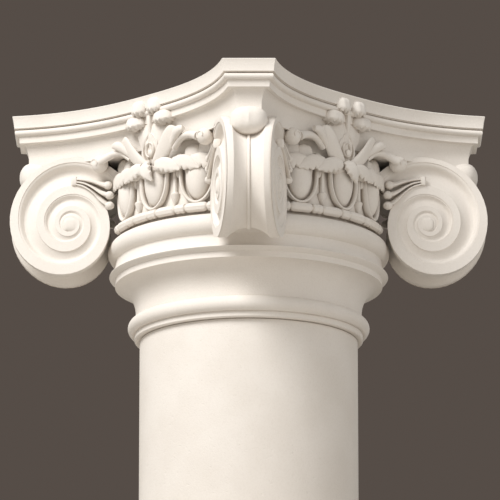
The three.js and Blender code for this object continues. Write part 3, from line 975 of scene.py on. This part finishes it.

# %% [markdown]
# ## The cast stone
#
# The capital is cast in a fine, warm white stone that is matt all over. Its colour drifts
# a little in broad clouds, and finer specks lie in it. Crevices are painted darker and
# warmer as painted shade: ambient occlusion finds the crevices. A fine bump gives the
# sandy grain.

# %% Stone finishes
def stone(name, light, deep, crevice_shade_colour, grain, pitting):
    finish = Finish(name)
    clouds = finish.spread(finish.noise(60), 0.3, 0.7)
    specks = finish.spread(finish.noise(2.2, 4), 0.42, 0.72)
    mottle = 0.65 * clouds + 0.35 * specks
    colour = finish.blend(mottle, light, deep)
    # Painted shade: where ambient occlusion finds a crevice, the colour is blended towards a warm dark
    # brown that stands in for the shade falling there.
    occlusion_shade = finish.make("ShaderNodeAmbientOcclusion", {"samples": 8}, {"Distance": 9 * MM}, "AO")
    hollow = finish.spread(occlusion_shade, 0.75, 0.15)
    colour = finish.blend(0.6 * hollow, colour, crevice_shade_colour)
    finish.feed(finish.shader.inputs["Base Color"], colour)
    finish.feed(finish.shader.inputs["Roughness"], 0.72 + 0.16 * specks)
    finish.shader.inputs["Specular IOR Level"].default_value = 0.35
    pits = finish.spread(finish.noise(4.5, 2), 0.62, 0.78)
    height = grain * finish.noise(1.6, 4) - pitting * pits
    bump = finish.make("ShaderNodeBump", {}, {"Height": height, "Distance": MM, "Strength": 0.6})
    finish.feed(finish.shader.inputs["Normal"], bump)
    return finish.material


# The third colour of each stone, a warm dark brown, is the painted shade in crevices.
capital.data.materials.clear()
capital.data.materials.append(stone("cast_stone", (0.82, 0.775, 0.72, 1), (0.765, 0.715, 0.655, 1),
                                    (0.36, 0.29, 0.22, 1), 0.25, 0.15))
shaft.data.materials.clear()
shaft.data.materials.append(stone("shaft_stone", (0.80, 0.755, 0.70, 1), (0.74, 0.69, 0.63, 1),
                                  (0.36, 0.29, 0.22, 1), 0.35, 0.3))

# %% [markdown]
# ## Floor
#
# The piece stands on a plain pale floor. The camera looks up from below the floor's level,
# so the floor is only seen from above: its back lets rays through.

# %% Floor
floor_mesh = bpy.data.meshes.new("floor")
HALF_FLOOR = 3.0
floor_mesh.from_pydata([(-HALF_FLOOR, -HALF_FLOOR, 0), (HALF_FLOOR, -HALF_FLOOR, 0),
                        (HALF_FLOOR, HALF_FLOOR, 0), (-HALF_FLOOR, HALF_FLOOR, 0)], [], [(0, 1, 2, 3)])
floor = bpy.data.objects.new("floor", floor_mesh)
bpy.context.scene.collection.objects.link(floor)
floor_finish = Finish("pale_floor")
floor_finish.shader.inputs["Base Color"].default_value = (0.5, 0.47, 0.43, 1)
floor_finish.shader.inputs["Roughness"].default_value = 0.9
below = floor_finish.make("ShaderNodeNewGeometry", output="Backfacing")
clear = floor_finish.make("ShaderNodeBsdfTransparent")
pale = Field(floor_finish, floor_finish.shader.outputs[0])
one_sided = floor_finish.make("ShaderNodeMixShader", {}, {0: below, 1: pale, 2: clear})
floor_output = floor_finish.tree.nodes["Material Output"]
floor_finish.feed(floor_output.inputs["Surface"], one_sided)
floor_mesh.materials.append(floor_finish.material)

# %% [markdown]
# ## Camera
#
# A capital is made to be seen from below and from a corner. A long lens from six metres
# away keeps its levels almost parallel.

# %% Camera
from mathutils import Vector

VIEW_AZIMUTH = math.radians(-45)
VIEW_PITCH = math.radians(14.04)
VIEW_DISTANCE = 6.141
AIM = Vector((0, 0, 0.3346))
SENSOR, LENS = 36.0, 377.9
SIDE_SHIFT = 0.0026
to_camera = Vector((math.cos(VIEW_PITCH) * math.cos(VIEW_AZIMUTH),
                    math.cos(VIEW_PITCH) * math.sin(VIEW_AZIMUTH), -math.sin(VIEW_PITCH)))
camera_data = bpy.data.cameras.new("camera")
camera_data.lens = LENS
camera_data.sensor_width = SENSOR
camera_data.shift_x = SIDE_SHIFT
camera_data.clip_end = 50
camera = bpy.data.objects.new("camera", camera_data)
camera.location = AIM + VIEW_DISTANCE * to_camera
camera.rotation_euler = to_camera.to_track_quat("Z", "Y").to_euler()
bpy.context.scene.collection.objects.link(camera)
bpy.context.scene.camera = camera

# %% [markdown]
# ## Light
#
# White stone shows its carving by shadow alone. A soft key from the upper left gives the
# shadows, a weaker fill keeps them open, and the air adds an even glow. Camera rays see a
# plain dark brown instead of the air.

# %% Lights
view_right = Vector((-math.sin(VIEW_AZIMUTH), math.cos(VIEW_AZIMUTH), 0))
towards_viewer = Vector((math.cos(VIEW_AZIMUTH), math.sin(VIEW_AZIMUTH), 0))


def soft_light(name, right, forward, up, size, power, colour):
    data = bpy.data.lights.new(name, "AREA")
    data.shape = "DISK"
    data.size = size
    data.energy = power
    data.color = colour
    lamp = bpy.data.objects.new(name, data)
    lamp.location = AIM + right * view_right + forward * towards_viewer + Vector((0, 0, up))
    lamp.rotation_euler = (lamp.location - AIM).to_track_quat("Z", "Y").to_euler()
    bpy.context.scene.collection.objects.link(lamp)


soft_light("key", -1.8, 2.0, 2.2, 1.7, 128, (1.0, 0.985, 0.97))
soft_light("fill", 2.0, 2.2, 0.6, 2.2, 16, (1.0, 0.965, 0.94))

world = bpy.data.worlds.new("studio")
world.use_nodes = True
bpy.context.scene.world = world
tree = world.node_tree
backdrop = tree.nodes["Background"]
backdrop.inputs["Color"].default_value = (0.092, 0.074, 0.063, 1)
air = tree.nodes.new("ShaderNodeBackground")
air.inputs["Color"].default_value = (0.9, 0.89, 0.87, 1)
air.inputs["Strength"].default_value = 0.42
ray = tree.nodes.new("ShaderNodeLightPath")
mix = tree.nodes.new("ShaderNodeMixShader")
tree.links.new(ray.outputs["Is Camera Ray"], mix.inputs[0])
tree.links.new(air.outputs[0], mix.inputs[1])
tree.links.new(backdrop.outputs[0], mix.inputs[2])
tree.links.new(mix.outputs[0], tree.nodes["World Output"].inputs["Surface"])
bpy.context.scene.view_settings.view_transform = "Standard"
